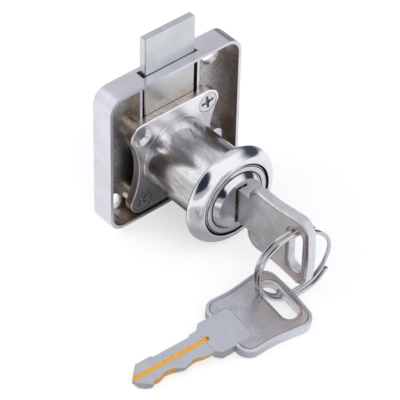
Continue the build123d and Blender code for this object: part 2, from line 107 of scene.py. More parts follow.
def change(tree, value, start, end, before=0.0, after=1.0, smooth=True):
    """Goes from one number to another while a value goes from start to end."""
    step = add_node(tree, "ShaderNodeMapRange", From_Min=start, From_Max=end, To_Min=before, To_Max=after)
    if smooth:
        step.interpolation_type = "SMOOTHSTEP"
    wire(tree, value, step.inputs["Value"])
    return step.outputs[0]


# Effects that several finishes share

# The middle of a noise's range, and the mark that a piece has on its rounded edges
noise_middle = 0.5
edge_mark = "edge"


def make_blotches():
    """Cloudy patches between two colours, as on a tumbled and plated casting."""
    tree, start, end = new_group(
        "blotches",
        [
            ("Vector", "NodeSocketVector", None),
            ("Scale", "NodeSocketFloat", 200.0),
            ("Contrast", "NodeSocketFloat", 1.0),
            ("Light", "NodeSocketColor", (1, 1, 1, 1)),
            ("Dark", "NodeSocketColor", (0, 0, 0, 1)),
        ],
        [("Color", "NodeSocketColor"), ("Mask", "NodeSocketFloat")],
    )
    noise = add_node(tree, "ShaderNodeTexNoise", Detail=5.0, Roughness=0.55, Distortion=0.6)
    wire(tree, start.outputs["Vector"], noise.inputs["Vector"])
    wire(tree, start.outputs["Scale"], noise.inputs["Scale"])
    centred = add_node(tree, "ShaderNodeMath", operation="SUBTRACT")
    centred.inputs[1].default_value = noise_middle
    wire(tree, noise.outputs["Fac"], centred.inputs[0])
    spread = add_node(tree, "ShaderNodeMath", operation="MULTIPLY_ADD", use_clamp=True)
    spread.inputs[2].default_value = noise_middle
    wire(tree, centred.outputs[0], spread.inputs[0])
    wire(tree, start.outputs["Contrast"], spread.inputs[1])
    mixed = mix_colours(tree, spread.outputs[0], start.outputs["Light"], start.outputs["Dark"])
    wire(tree, mixed, end.inputs["Color"])
    wire(tree, spread.outputs[0], end.inputs["Mask"])
    return tree


def make_grain():
    """Fine uneven surface, as a normal."""
    tree, start, end = new_group(
        "grain",
        [
            ("Vector", "NodeSocketVector", None),
            ("Scale", "NodeSocketFloat", 2000.0),
            ("Depth", "NodeSocketFloat", 0.00001),
        ],
        [("Normal", "NodeSocketVector"), ("Height", "NodeSocketFloat")],
    )
    noise = add_node(tree, "ShaderNodeTexNoise", Detail=3.0, Roughness=0.6)
    wire(tree, start.outputs["Vector"], noise.inputs["Vector"])
    wire(tree, start.outputs["Scale"], noise.inputs["Scale"])
    bump = add_node(tree, "ShaderNodeBump", Strength=1.0)
    wire(tree, start.outputs["Depth"], bump.inputs["Distance"])
    wire(tree, noise.outputs["Fac"], bump.inputs["Height"])
    wire(tree, bump.outputs["Normal"], end.inputs["Normal"])
    wire(tree, noise.outputs["Fac"], end.inputs["Height"])
    return tree


def make_edge_wear_and_highlight():
    """Brighter metal along the rounded edges that the piece marks: wear, and a painted highlight."""
    tree, start, end = new_group(
        "edge wear and highlight",
        [
            ("Color", "NodeSocketColor", (1, 1, 1, 1)),
            ("Bright edge", "NodeSocketColor", (1, 1, 1, 1)),
            ("Amount", "NodeSocketFloat", 0.5),
        ],
        [("Color", "NodeSocketColor")],
    )
    mark = add_node(tree, "ShaderNodeAttribute", attribute_name=edge_mark)
    amount = add_node(tree, "ShaderNodeMath", operation="MULTIPLY", use_clamp=True)
    wire(tree, mark.outputs["Fac"], amount.inputs[0])
    wire(tree, start.outputs["Amount"], amount.inputs[1])
    mixed = mix_colours(tree, amount.outputs[0], start.outputs["Color"], start.outputs["Bright edge"])
    wire(tree, mixed, end.inputs["Color"])
    return tree


blotches = make_blotches()
grain = make_grain()
edge_wear_and_highlight = make_edge_wear_and_highlight()

# Heights of the grain between which its specks go from dark to bright, and how bright beside how dark
speck_low = 0.36
speck_high = 0.64
speck_bright_share = 0.6


def metal(
    name,
    light,
    dark,
    bright_edge_colour,
    roughness,
    rough_spread=0.08,
    blotch_scale=250.0,
    contrast=2.0,
    grain_scale=2500.0,
    grain_depth=0.000006,
    edge_brightening=0.5,
    stretch=(1, 1, 1),
    turn=(0, 0, 0),
    centre=(0, 0, 0),
    speck=0.0,
):
    """A metal finish: clouded and specked colour, edges brightened by wear and a painted highlight, uneven
    gloss and a fine grain.
    """
    material = bpy.data.materials.new(name)
    material.use_nodes = True
    tree = material.node_tree
    shader = tree.nodes["Principled BSDF"]
    shader.inputs["Metallic"].default_value = 1.0
    place = add_node(tree, "ShaderNodeTexCoord")
    mapping = add_node(tree, "ShaderNodeMapping", vector_type="TEXTURE")
    mapping.inputs["Location"].default_value = Vector(centre) * MM
    mapping.inputs["Rotation"].default_value = [radians(angle) for angle in turn]
    mapping.inputs["Scale"].default_value = stretch
    wire(tree, place.outputs["Object"], mapping.inputs["Vector"])
    clouds = add_node(tree, "ShaderNodeGroup", node_tree=blotches)
    clouds.inputs["Scale"].default_value = blotch_scale
    clouds.inputs["Contrast"].default_value = contrast
    clouds.inputs["Light"].default_value = (*light, 1)
    clouds.inputs["Dark"].default_value = (*dark, 1)
    wire(tree, mapping.outputs[0], clouds.inputs["Vector"])
    edges = add_node(tree, "ShaderNodeGroup", node_tree=edge_wear_and_highlight)
    edges.inputs["Bright edge"].default_value = (*bright_edge_colour, 1)
    edges.inputs["Amount"].default_value = edge_brightening
    texture = add_node(tree, "ShaderNodeGroup", node_tree=grain)
    texture.inputs["Scale"].default_value = grain_scale
    texture.inputs["Depth"].default_value = grain_depth
    wire(tree, mapping.outputs[0], texture.inputs["Vector"])
    shade = clouds.outputs["Color"]
    if speck:
        brightest = 1.0 + speck_bright_share * speck
        dots = change(
            tree, texture.outputs["Height"], speck_low, speck_high, 1.0 - speck, brightest, smooth=False
        )
        dotted = add_node(tree, "ShaderNodeVectorMath", operation="SCALE")
        wire(tree, shade, dotted.inputs[0])
        wire(tree, dots, dotted.inputs["Scale"])
        shade = dotted.outputs[0]
    wire(tree, shade, edges.inputs["Color"])
    wire(tree, edges.outputs["Color"], shader.inputs["Base Color"])
    smoothest = roughness - rough_spread / 2
    gloss = change(tree, clouds.outputs["Mask"], 0, 1, smoothest, smoothest + rough_spread, smooth=False)
    wire(tree, gloss, shader.inputs["Roughness"])
    wire(tree, texture.outputs["Normal"], shader.inputs["Normal"])
    return material


# Finishes
# The case's edges turn white: wear and a painted highlight along them.
case_plate = metal(
    "case_plate", (0.80, 0.80, 0.86), (0.69, 0.68, 0.72), (1.0, 1.0, 1.0), 0.30,
    blotch_scale=110.0, contrast=2.4, edge_brightening=0.9,
)
case_wall = metal(
    "case_wall", (0.72, 0.62, 0.55), (0.42, 0.35, 0.31), (0.84, 0.78, 0.74), 0.34,
    blotch_scale=260.0, contrast=2.4, stretch=(1, 1, 2.5),
    grain_scale=3000.0, grain_depth=0.00003, speck=0.25,
)
case_floor = metal(
    "case_floor", (0.74, 0.74, 0.78), (0.50, 0.50, 0.52), (0.84, 0.84, 0.86), 0.36,
    blotch_scale=420.0, contrast=2.0, grain_scale=3000.0, grain_depth=0.00007, speck=0.45,
)
case_post = metal(
    "case_post", (0.84, 0.70, 0.58), (0.56, 0.44, 0.36), (0.95, 0.88, 0.80), 0.28,
    blotch_scale=350.0, contrast=2.4, grain_scale=3000.0, grain_depth=0.00002, speck=0.20,
)
flange_cast = metal(
    "flange_cast", (0.66, 0.66, 0.69), (0.54, 0.53, 0.55), (0.88, 0.88, 0.90), 0.32,
    blotch_scale=300.0, speck=0.10,
)
barrel_cast = metal(
    "barrel_cast", (0.94, 0.93, 0.94), (0.42, 0.40, 0.39), (0.92, 0.91, 0.90), 0.20,
    blotch_scale=190.0, contrast=3.4, stretch=(1, 2.4, 1), speck=0.14, centre=(14, 5, 0),
)
# The flange's top wall lighter and its side walls darker: a painted highlight and painted shade.
flange_top_painted_highlight = metal(
    "flange_top_painted_highlight", (1.0, 0.95, 0.92), (0.82, 0.74, 0.69), (1.0, 0.98, 0.95), 0.32,
    blotch_scale=700.0, contrast=3.0, speck=0.30,
)
flange_side_painted_shade = metal(
    "flange_side_painted_shade", (0.70, 0.62, 0.56), (0.48, 0.41, 0.37), (0.90, 0.88, 0.86), 0.30,
    blotch_scale=300.0, contrast=2.0, speck=0.10,
)
barrel_end = metal("barrel_end", (0.74, 0.74, 0.77), (0.62, 0.61, 0.62), (0.9, 0.9, 0.9), 0.22)
trim_chrome = metal(
    "trim_chrome", (0.89, 0.89, 0.93), (0.80, 0.80, 0.84), (0.96, 0.96, 0.98), 0.15,
    rough_spread=0.05, blotch_scale=120.0, grain_depth=0.000001,
)
# Painted shade for the gaps and bores round other pieces and the fine steps at the barrel's end.
gap_painted_shade = metal(
    "gap_painted_shade", (0.10, 0.10, 0.11), (0.06, 0.06, 0.06), (0.2, 0.2, 0.2), 0.5, edge_brightening=0.2
)
# Steel with painted shade, for the screws' recesses and the rims of their heads below the flange.
recess_steel_painted_shade = metal(
    "recess_steel_painted_shade", (0.86, 0.87, 0.93), (0.24, 0.23, 0.23), (0.9, 0.9, 0.94), 0.30,
    blotch_scale=1500.0, contrast=4.0,
)
plug_nickel = metal(
    "plug_nickel", (0.56, 0.56, 0.60), (0.34, 0.31, 0.29), (0.9, 0.89, 0.88), 0.24,
    blotch_scale=90.0, contrast=3.0, grain_depth=0.00001,
)
plug_bevel = metal(
    "plug_bevel", (0.82, 0.82, 0.84), (0.66, 0.65, 0.66), (0.92, 0.92, 0.93), 0.10, rough_spread=0.04
)
bolt_nickel = metal(
    "bolt_nickel", (0.74, 0.76, 0.80), (0.60, 0.61, 0.63), (0.95, 0.95, 0.97), 0.26,
    blotch_scale=110.0, contrast=1.6, grain_scale=1400.0, grain_depth=0.000001,
)
bolt_end = metal(
    "bolt_end", (0.72, 0.73, 0.77), (0.60, 0.61, 0.64), (0.95, 0.95, 0.97), 0.28,
    grain_scale=1500.0, grain_depth=0.000010, stretch=(0.2, 2.0, 1),
)
screw_steel = metal("screw_steel", (0.80, 0.80, 0.84), (0.62, 0.61, 0.62), (0.95, 0.95, 0.95), 0.16)
ring_steel = metal(
    "ring_steel", (0.64, 0.64, 0.67), (0.52, 0.52, 0.54), (0.85, 0.85, 0.85), 0.12, rough_spread=0.04
)
wafer_brass = metal("wafer_brass", (0.78, 0.60, 0.28), (0.64, 0.46, 0.18), (0.9, 0.8, 0.5), 0.30)
spring_steel = metal("spring_steel", (0.56, 0.56, 0.57), (0.44, 0.44, 0.44), (0.8, 0.8, 0.8), 0.30)

# The two keys lie in their own frames: length along X from the neck, width along Y, face along Z
head_length = 20.6
spare_middle = Vector((-12.95, -44.6, -12.18))
spare_turn = (
    Matrix.Rotation(radians(7.0), 3, "X")
    @ Matrix.Rotation(radians(-2.6), 3, "Y")
    @ Matrix.Rotation(radians(-3.6), 3, "Z")
)
spare_neck = spare_middle - spare_turn @ Vector((head_length / 2, 0, 0))
lock_key_turn = Matrix(((0, 0, -1), (-1, 0, 0), (0, 1, 0)))
lock_key_neck = Vector((0, -27.2, 0))

# Where the keys' heads turn warm, from the neck, and how the border between two colours wanders
head_warm_start = 12.0
head_warm_end = 24.0
wander_scale = 140.0
wander_reach = 9.0


def drift_to(material, axis, start, end, colour):
    """Turns a finish to another colour along one of its axes, by a wandering border."""
    tree = material.node_tree
    shader = tree.nodes["Principled BSDF"]
    mapping = next(n for n in tree.nodes if n.bl_idname == "ShaderNodeMapping")
    split = tree.nodes.new("ShaderNodeSeparateXYZ")
    wire(tree, mapping.outputs[0], split.inputs[0])
    border = add_node(tree, "ShaderNodeTexNoise", Scale=wander_scale, Detail=2.0)
    wire(tree, mapping.outputs[0], border.inputs["Vector"])
    wander = add_node(tree, "ShaderNodeMath", operation="MULTIPLY_ADD")
    wander.inputs[1].default_value = wander_reach * MM
    wire(tree, border.outputs["Fac"], wander.inputs[0])
    wire(tree, split.outputs[axis], wander.inputs[2])
    share = change(tree, wander.outputs[0], start * MM, end * MM)
    plain = shader.inputs["Base Color"].links[0].from_socket
    wire(tree, mix_colours(tree, share, plain, colour), shader.inputs["Base Color"])


def key_finish(name, neck, turn, light, dark, warm):
    """Satin nickel that turns warm towards the end of the head."""
    angles = [degrees(angle) for angle in turn.to_euler("XYZ")]
    material = metal(
        name, light, dark, (0.94, 0.94, 0.96), 0.30,
        blotch_scale=200.0, contrast=3.0, grain_scale=1800.0, grain_depth=0.000012, speck=0.10,
        turn=angles, centre=neck,
    )
    drift_to(material, "X", head_warm_start, head_warm_end, warm)
    return material


drift_to(bolt_nickel, "Z", 30, 18, (0.52, 0.50, 0.48))
# The flange turns nearly white towards its top: a painted highlight.
drift_to(flange_cast, "Z", 9.5, 15.5, (0.97, 0.97, 1.0))
spare_nickel = key_finish(
    "spare_nickel", spare_neck, spare_turn,
    (0.69, 0.71, 0.77), (0.57, 0.56, 0.59), (0.68, 0.59, 0.55),
)
lock_key_nickel = key_finish(
    "lock_key_nickel", lock_key_neck, lock_key_turn,
    (0.88, 0.87, 0.90), (0.68, 0.65, 0.64), (0.76, 0.67, 0.63),
)
collar_nickel = metal(
    "collar_nickel", (0.73, 0.75, 0.80), (0.66, 0.67, 0.72), (0.94, 0.94, 0.96), 0.28,
    blotch_scale=240.0, grain_depth=0.000006,
)
blade_brass = metal(
    "blade_brass", (1.0, 0.72, 0.28), (1.0, 0.58, 0.15), (1.0, 0.84, 0.50), 0.40,
    blotch_scale=500.0, grain_depth=0.00001,
)
key_border = metal(
    "key_border", (0.82, 0.83, 0.88), (0.70, 0.70, 0.74), (0.94, 0.94, 0.96), 0.44,
    blotch_scale=200.0, speck=0.10,
)
# Painted shade for the pressed lines of the keys' heads and the walls round their pads.
painted_line_shade = metal(
    "painted_line_shade", (0.42, 0.41, 0.41), (0.28, 0.27, 0.27), (0.5, 0.5, 0.5), 0.35, blotch_scale=400.0
)


# Shape helpers

# How many faces lie across a rounded edge
edge_segments = 2

# Fine lines in painted shade: round the panels of the keys' heads and at the barrel's front end
panel_line_width = 0.30
panel_line_depth = 0.10
end_line_width = 0.26
end_line_depth = 0.12

# The panel's outline is where a flat face meets its slope, this far out from the key's middle plane
panel_outline_height = 1.25
panel_outline_start = -0.1
panel_flat_slope = 0.99
panel_edge_slopes = (0.8, 0.985)

# The barrel's front end
barrel_end_y = -21.9
facing_front = -0.99

# Faces that differ by less than this angle, in degrees, are one flat face
flat_angle = 0.5

# Points nearer than the first, in metres, are one, and edges shorter than the second have no length
same_place = 2e-6
no_length = 2e-7

# How far the large face beside a rounded edge decides the shading there: 50 is neutral, 100 the most
flat_face_weight = 100


def dress_node(name, material):
    """Gives a CAD node a finish through its object's own slots, its mesh left alone."""
    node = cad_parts[name]
    for slot in node.material_slots:
        slot.link = "OBJECT"
        slot.material = material


def place_piece(bm, node_name, body, materials):
    """Makes a piece from a bmesh, dresses it and hangs it on its body in place of its CAD node."""
    name = node_name + "_made"
    mesh = bpy.data.meshes.new(name)
    bm.to_mesh(mesh)
    bm.free()
    piece = bpy.data.objects.new(name, mesh)
    bpy.context.scene.collection.objects.link(piece)
    for material in materials:
        mesh.materials.append(material)
    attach(piece, body)
    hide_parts(node_name)
    return piece


def eased_copy(node_name, width, limit, before):
    """A bmesh of a CAD node, its triangles merged to whole faces and its sharp edges rounded."""
    bm = bmesh.new()
    bm.from_mesh(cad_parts[node_name].data)
    bmesh.ops.remove_doubles(bm, verts=bm.verts, dist=same_place)
    bmesh.ops.dissolve_limit(
        bm, angle_limit=radians(flat_angle), verts=bm.verts, edges=bm.edges, delimit={"NORMAL"}
    )
    if before:
        before(bm)
    bm.normal_update()
    sharp = [e for e in bm.edges if len(e.link_faces) == 2 and e.calc_face_angle(0) > radians(limit)]
    eased = bmesh.ops.bevel(
        bm,
        geom=sharp,
        offset=width * MM,
        offset_type="OFFSET",
        segments=edge_segments,
        profile=0.5,
        affect="EDGES",
        clamp_overlap=True,
        material=-1,
    )
    mark = bm.faces.layers.float.new(edge_mark)
    for face in eased["faces"]:
        if face.is_valid:
            face[mark] = 1.0
    bmesh.ops.remove_doubles(bm, verts=bm.verts, dist=same_place)
    bmesh.ops.dissolve_degenerate(bm, dist=no_length, edges=bm.edges)
    bmesh.ops.recalc_face_normals(bm, faces=bm.faces)
    for face in bm.faces:
        face.smooth = True
    return bm


def coin_panel(bm, neck, turn, finish):
    """Presses a fine line in painted shade into both faces of a key's head, where the flat panel meets its
    slopes.
    """
    back = turn.transposed()
    for side in (-1, 1):

        def slope(face):
            return (back @ face.normal).z * side

        def on_head(edge):
            at = back @ (sum((v.co for v in edge.verts), Vector()) / 2 / MM - neck)
            return at.z * side > panel_outline_height and at.x > panel_outline_start

        def ends_panel(edge):
            steep, gentle = panel_edge_slopes
            slopes = [slope(face) for face in edge.link_faces]
            return max(slopes) > panel_flat_slope and steep < min(slopes) < gentle

        outline = [e for e in bm.edges if len(e.link_faces) == 2 and on_head(e) and ends_panel(e)]
        pressed = bmesh.ops.bevel(
            bm,
            geom=outline,
            offset=panel_line_width * MM / 2,
            offset_type="OFFSET",
            segments=edge_segments,
            profile=0.5,
            affect="EDGES",
            clamp_overlap=True,
            material=-1,
        )
        strip = set(pressed["faces"])
        for face in strip:
            face.material_index = finish
        sunk = [v for v in pressed["verts"] if v.is_valid and all(f in strip for f in v.link_faces)]
        bmesh.ops.translate(bm, verts=sunk, vec=turn @ Vector((0, 0, -side * panel_line_depth * MM)))


def line_end(bm, finish):
    """Sinks the two edges of the barrel's front end by a fine step in painted shade."""
    end = [
        f for f in bm.faces
        if f.normal.y < facing_front and f.calc_center_median().y < barrel_end_y * MM
    ]
    for step in (-1, 1):
        rim = bmesh.ops.inset_region(
            bm,
            faces=end,
            thickness=end_line_width * MM / 2,
            depth=step * end_line_depth * MM,
            use_boundary=True,
            use_even_offset=True,
        )
        for face in rim["faces"]:
            face.material_index = finish


def mark_creases(bm, limit):
    """Keeps the corners that weren't rounded crisp."""
    for edge in bm.edges:
        if len(edge.link_faces) == 2 and edge.calc_face_angle(0) > radians(limit):
            edge.smooth = False


def weigh_normals(piece):
    """Keeps flat faces flat beside rounded edges."""
    weighted = piece.modifiers.new("flat faces", "WEIGHTED_NORMAL")
    weighted.keep_sharp = True
    weighted.weight = flat_face_weight


def eased_piece(
    node_name,
    body,
    materials,
    width,
    limit=32.0,
    crease=30.0,
    choose=None,
    before=None,
):
    """A CAD node with eased edges.

    choose gives a face's finish from its middle, normal and corners, in millimetres, and before shapes
    the copy first. A face that before gave a finish keeps it.
    """
    bm = eased_copy(node_name, width, limit, before)
    mark_creases(bm, crease)
    if choose:
        for face in bm.faces:
            if face.material_index:
                continue
            corners = [vert.co / MM for vert in face.verts]
            face.material_index = choose(face.calc_center_median() / MM, face.normal, corners)
    weigh_normals(place_piece(bm, node_name, body, materials))


# Which finish a face has

# How far a face leans one way, as a part of its normal
squarely = 0.9
mostly = 0.8
half_way = 0.5
barely = 0.3

# The case: its corners' middles, how far out its faces lie from there, its depths and the slot in its top
case_corner_x = 15.8
case_corner_z = 15.9
case_middle_z = 5.2
case_outside_reach = 3.75
case_inside_reach = 2.7
case_rim_y = 0.05
case_floor_y = 5.0
case_hole_y = 5.6
case_back_y = 6.5
bolt_slot_z = 24.0
bolt_slot_half = 8.6

# The barrel: places from front to back, and reaches from its axis
barrel_front_y = -21.5
barrel_groove_y = -18.0
flange_face_y = 0.28
flange_wall_y = 0.6
barrel_bore_reach = 7.9
barrel_groove_reach = 9.3
barrel_reach = 9.9

# The flange's four holes: their places and reaches
flange_hole_place = 10.0
screw_seat_reach = 2.79
flange_hole_reach = 2.9

# The screws: the recess in the head, and the head's rim below the flange's face
recess_reach = 2.0
recess_start_y = 0.42
recess_end_y = 1.6
head_rim_reach = 2.6
head_rim_y = 0.45

# The plug's polished bevel, and the bolt's end
bevel_start_reach = 6.0
bevel_front_y = -21.9
bevel_front_lean = 0.95
bolt_end_z = 30.0

# The keys, in their own frames: the flat collar with its pad on the head
pad_end = 5.0
pad_half = 4.95
pad_height = 1.21
pad_wall_start = -0.5
pad_wall_end = 5.4
pad_wall_half = 5.0
pad_wall_heights = (1.19, 1.31)
pad_wall_lean = 0.97

# The head: its sloped border and its walls
border_start = -0.5
border_height = 1.29
border_leans = (0.96, 0.99)
head_wall_start = 1.0
head_wall_lean = 0.3

# The blade: the groove in each face, off the middle, and the cuts in the two edges
blade_start = -4.95
groove_start = -3.6
groove_off_middle = 0.3
groove_half = 0.70
groove_collar_height = 1.19
groove_blade_height = 0.98
near_cuts = ((-11.0, -6.6), (-21.6, -13.2))
far_cuts = ((-17.6, -6.8),)


def radii(corners):
    """How far corners lie from the barrel's axis."""
    return [(corner.x**2 + corner.z**2) ** 0.5 for corner in corners]


def hole_radii(corners):
    """How far corners lie from the nearest flange hole's axis."""
    return [
        Vector((abs(corner.x) - flange_hole_place, abs(corner.z) - flange_hole_place)).length
        for corner in corners
    ]


def case_side(middle, normal, corners):
    """0 for the outside and rim, 1 for the walls inside, 2 for the floor, 3 for posts, ribs and pip."""
    past_x = max(abs(middle.x) - case_corner_x, 0)
    past_z = max(abs(middle.z - case_middle_z) - case_corner_z, 0)
    past = (past_x**2 + past_z**2) ** 0.5
    in_slot = middle.z > bolt_slot_z and abs(middle.x) < bolt_slot_half
    through_hole = middle.y > case_hole_y or in_slot
    if past > case_outside_reach or not case_rim_y < middle.y < case_back_y or through_hole:
        return 0
    if past > case_inside_reach:
        return 1
    if normal.y < -squarely:
        return 2 if middle.y > case_floor_y else 0
    return 3


def barrel_part(middle, normal, corners):
    """Which part of the barrel a face is on.

    0 flange, 1 barrel, 2 its front end, 3 painted shade in the gaps round other pieces, 4 flange's side
    walls in painted shade, 5 its top wall in a painted highlight.
    """
    reach = radii(corners)
    sinks = hole_radii(corners)
    in_groove = middle.y < barrel_groove_y and min(reach) > barrel_groove_reach
    if max(reach) < barrel_bore_reach or (in_groove and abs(normal.y) < barely):
        return 3
    if middle.x * middle.z > 0 and max(sinks) < screw_seat_reach:
        return 3
    if middle.y < barrel_front_y:
        return 2
    if max(reach) < barrel_reach and middle.y < flange_face_y:
        return 1
    outside = min(reach) > barrel_reach and min(sinks) > flange_hole_reach
    if outside and abs(normal.y) < half_way and middle.y > flange_wall_y:
        return 5 if normal.z > mostly else 4
    return 0


def plug_part(middle, normal, corners):
    """0 for the face and the rest, 1 for the polished bevel."""
    at_front = min(radii(corners)) > bevel_start_reach and middle.y < bevel_front_y
    return 1 if at_front and -bevel_front_lean < normal.y < half_way else 0


def trim_part(middle, normal, corners):
    """0 for the polished dome, 1 for its bore, in painted shade."""
    return 1 if max(radii(corners)) < barrel_reach else 0


def screw_part(middle, normal, corners):
    """0 for the head and shank, 1 in the recess and on the head's rim below the flange's face, steel in
    painted shade.
    """
    reach = hole_radii(corners)
    in_recess = max(reach) < recess_reach and recess_start_y < middle.y < recess_end_y
    rim = min(reach) > head_rim_reach and middle.y > head_rim_y
    return 1 if in_recess or rim else 0


def bolt_part(middle, normal, corners):
    """0 for the plate, 1 for its end."""
    return 1 if normal.z > mostly and middle.z > bolt_end_z else 0


def head_part(at, facing):
    """0 for the head, 1 for the flat collar and pad, 3 for the low wall round the pad, in painted shade.
    """
    height = abs(at.z)
    by_pad = pad_wall_start < at.x < pad_wall_end and abs(at.y) < pad_wall_half
    if by_pad and pad_wall_heights[0] < height < pad_wall_heights[1] and abs(facing.z) < pad_wall_lean:
        return 3
    on_pad = at.x < pad_end and abs(at.y) < pad_half and height < pad_height
    return 1 if on_pad and abs(facing.z) > squarely else 0


def key_part(at, facing):
    """0 head, 1 flat collar and blade, 2 bare brass in groove and cuts, 3 wall round the pad in painted
    shade, 4 border.
    """
    side = 1 if at.z > 0 else -1
    height = abs(at.z)
    in_groove = abs(at.y - groove_off_middle * side) < groove_half
    sloped = border_leans[0] < abs(facing.z) < border_leans[1]
    if at.x > border_start and sloped and height < border_height:
        return 4
    if at.x > blade_start:
        in_collar_groove = at.x < groove_start and in_groove and height < groove_collar_height
        return 2 if in_collar_groove else head_part(at, facing)
    if facing.x < -half_way:
        return 0
    near_cut = facing.y < -half_way and any(start < at.x < end for start, end in near_cuts)
    far_cut = facing.y > half_way and any(start < at.x < end for start, end in far_cuts)
    return 2 if (in_groove and height < groove_blade_height) or near_cut or far_cut else 1


def key_chooser(neck, turn, wall, finishes):
    """Chooses the finishes of a key: wall for the walls of its head, and finishes by its other parts."""
    back = turn.transposed()

    def choose(middle, normal, corners):
        at = back @ (middle - neck)
        facing = back @ normal
        if at.x > head_wall_start and abs(facing.z) < head_wall_lean:
            return wall
        return finishes[key_part(at, facing)]

    return choose


# Pieces
eased_piece(
    "case", "housing", [case_plate, case_wall, case_floor, case_post], 0.14, choose=case_side
)
eased_piece(
    "barrel_housing", "housing",
    [flange_cast, barrel_cast, barrel_end, gap_painted_shade, flange_side_painted_shade, flange_top_painted_highlight], 0.10,
    choose=barrel_part, before=lambda bm: line_end(bm, 3),
)
for which in ("upper", "lower"):
    eased_piece(
        f"flange_screw_{which}", "housing", [screw_steel, recess_steel_painted_shade], 0.12,
        choose=screw_part,
    )
eased_piece("trim_ring", "housing", [trim_chrome, gap_painted_shade], 0.06, choose=trim_part)
eased_piece("bolt", "bolt_body", [bolt_nickel, bolt_end], 0.10, choose=bolt_part)
eased_piece("plug", "plug_body", [plug_nickel, plug_bevel], 0.06, choose=plug_part)
eased_piece(
    "key", "key_body", [lock_key_nickel, painted_line_shade, blade_brass, key_border], 0.09,
    limit=58.0, crease=12.0, choose=key_chooser(lock_key_neck, lock_key_turn, 3, (0, 0, 2, 1, 0)),
    before=lambda bm: coin_panel(bm, lock_key_neck, lock_key_turn, 1),
)
eased_piece(
    "spare_key", "spare_key_body",
    [spare_nickel, collar_nickel, blade_brass, painted_line_shade, key_border], 0.09,
    limit=58.0, crease=12.0, choose=key_chooser(spare_neck, spare_turn, 1, (0, 1, 2, 3, 4)),
    before=lambda bm: coin_panel(bm, spare_neck, spare_turn, 3),
)
eased_piece("split_ring", "ring_body", [ring_steel], 0.05)
for number in range(1, 7):
    dress_node(f"wafer_{number}", wafer_brass)
    dress_node(f"wafer_spring_{number}", spring_steel)
dress_node("retaining_wafer", wafer_brass)
dress_node("retaining_spring", spring_steel)


# Studio

# How much lighter the table is where it is seen, which lifts it to the backdrop's white
table_lift = 0.50

# Painted shadows of the lock on the table that only metal mirrors: amount, colour, middle, size, and where
# the edge starts and ends as a share of the size. One grey lies all over it
mirrored_grey_and_shadow = (0.10, 0.10, 0.11)
mirrored_all_over = 0.10
mirrored_painted_shadows = [
    (0.6, mirrored_grey_and_shadow, (-3, -18), (22, 17), 0.6, 1.15),
    (0.5, mirrored_grey_and_shadow, (-50, -40), (44, 36), 0.6, 1.1),
    (0.85, (0.05, 0.045, 0.04), (0, -2), (20, 11), 0.4, 1.1),
]

# The dark far part of the table behind the lock: amount, colour, and its bounds along two directions
mirrored_far = (0.6, (0.05, 0.06, 0.09), [((0.83, 0.56, 0), 52, 66), ((0, 1, 0), 0, 15)])

# The room that metal mirrors: a white, and patches of other shades. A patch has its colour and the
# directions it lies along, each with the reach where the patch starts and the one where it is full
room_white = (1.04, 1.05, 1.07)
room_patches = [
    # Overhead
    ((0.68, 0.68, 0.72), [((0.35, 0.40, 0.85), 0.75, 0.94)]),
    # On the left
    (
        (0.02, 0.025, 0.04),
        [((-1, 0, 0), 0.40, 0.54), ((0, 0, 1), -0.24, 0.0), ((0, -1, 0), -0.50, -0.25)],
    ),
    # Low on the left
    ((0.50, 0.50, 0.53), [((-0.14, -0.15, -1.0), -0.12, 0.0), ((-0.914, 0.088, -0.395), 0.0, 0.2)]),
    # On the right
    (
        (0.05, 0.06, 0.09),
        [
            ((1, 0, 0), 0.55, 0.86), ((0, 0, 1), -0.40, -0.05),
            ((0, 0, -1), -0.85, -0.45), ((0, -1, 0), -0.62, -0.40),
        ],
    ),
    # Far left and far right
    ((0.92, 0.93, 0.96), [((-0.83, 0.56, 0), 0.80, 0.95)]),
    ((0.12, 0.12, 0.14), [((0.78, 0.56, 0.28), 0.955, 0.99)]),
]

# The even light from all round
fill_colour = (0.95, 0.96, 1.0)
fill_strength = 0.55

# The two lamps
softbox_size = 500.0
softbox_power = 1.1
softbox_aim = (0, -15, 0)


def stage_material(name, build_shader):
    """A material of the studio, with its shader from a function."""
    material = bpy.data.materials.new(name)
    material.use_nodes = True
    tree = material.node_tree
    tree.nodes.clear()
    output = tree.nodes.new("ShaderNodeOutputMaterial")
    wire(tree, build_shader(tree), output.inputs["Surface"])
    return material


def seen_directly(tree):
    """1 for rays from the camera, from a mirror or through glass."""
    path = tree.nodes.new("ShaderNodeLightPath")
    first = add_node(tree, "ShaderNodeMath", operation="MAXIMUM")
    wire(tree, path.outputs["Is Camera Ray"], first.inputs[0])
    wire(tree, path.outputs["Is Glossy Ray"], first.inputs[1])
    second = add_node(tree, "ShaderNodeMath", operation="MAXIMUM")
    wire(tree, first.outputs[0], second.inputs[0])
    wire(tree, path.outputs["Is Transmission Ray"], second.inputs[1])
    return second.outputs[0]


def times(tree, first, second):
    """Multiplies two outputs, or an output and a number."""
    product = add_node(tree, "ShaderNodeMath", operation="MULTIPLY")
    for index, value in enumerate((first, second)):
        if isinstance(value, (int, float)):
            product.inputs[index].default_value = value
        else:
            wire(tree, value, product.inputs[index])
    return product.outputs[0]


def along(tree, vector, bounds, unit=1.0):
    """1 where a vector reaches far enough along every direction, with a smooth start along each."""
    share = 1.0
    for direction, start, end in bounds:
        dot = add_node(tree, "ShaderNodeVectorMath", operation="DOT_PRODUCT")
        dot.inputs[1].default_value = direction
        wire(tree, vector, dot.inputs[0])
        share = times(tree, change(tree, dot.outputs["Value"], start * unit, end * unit), share)
    return share


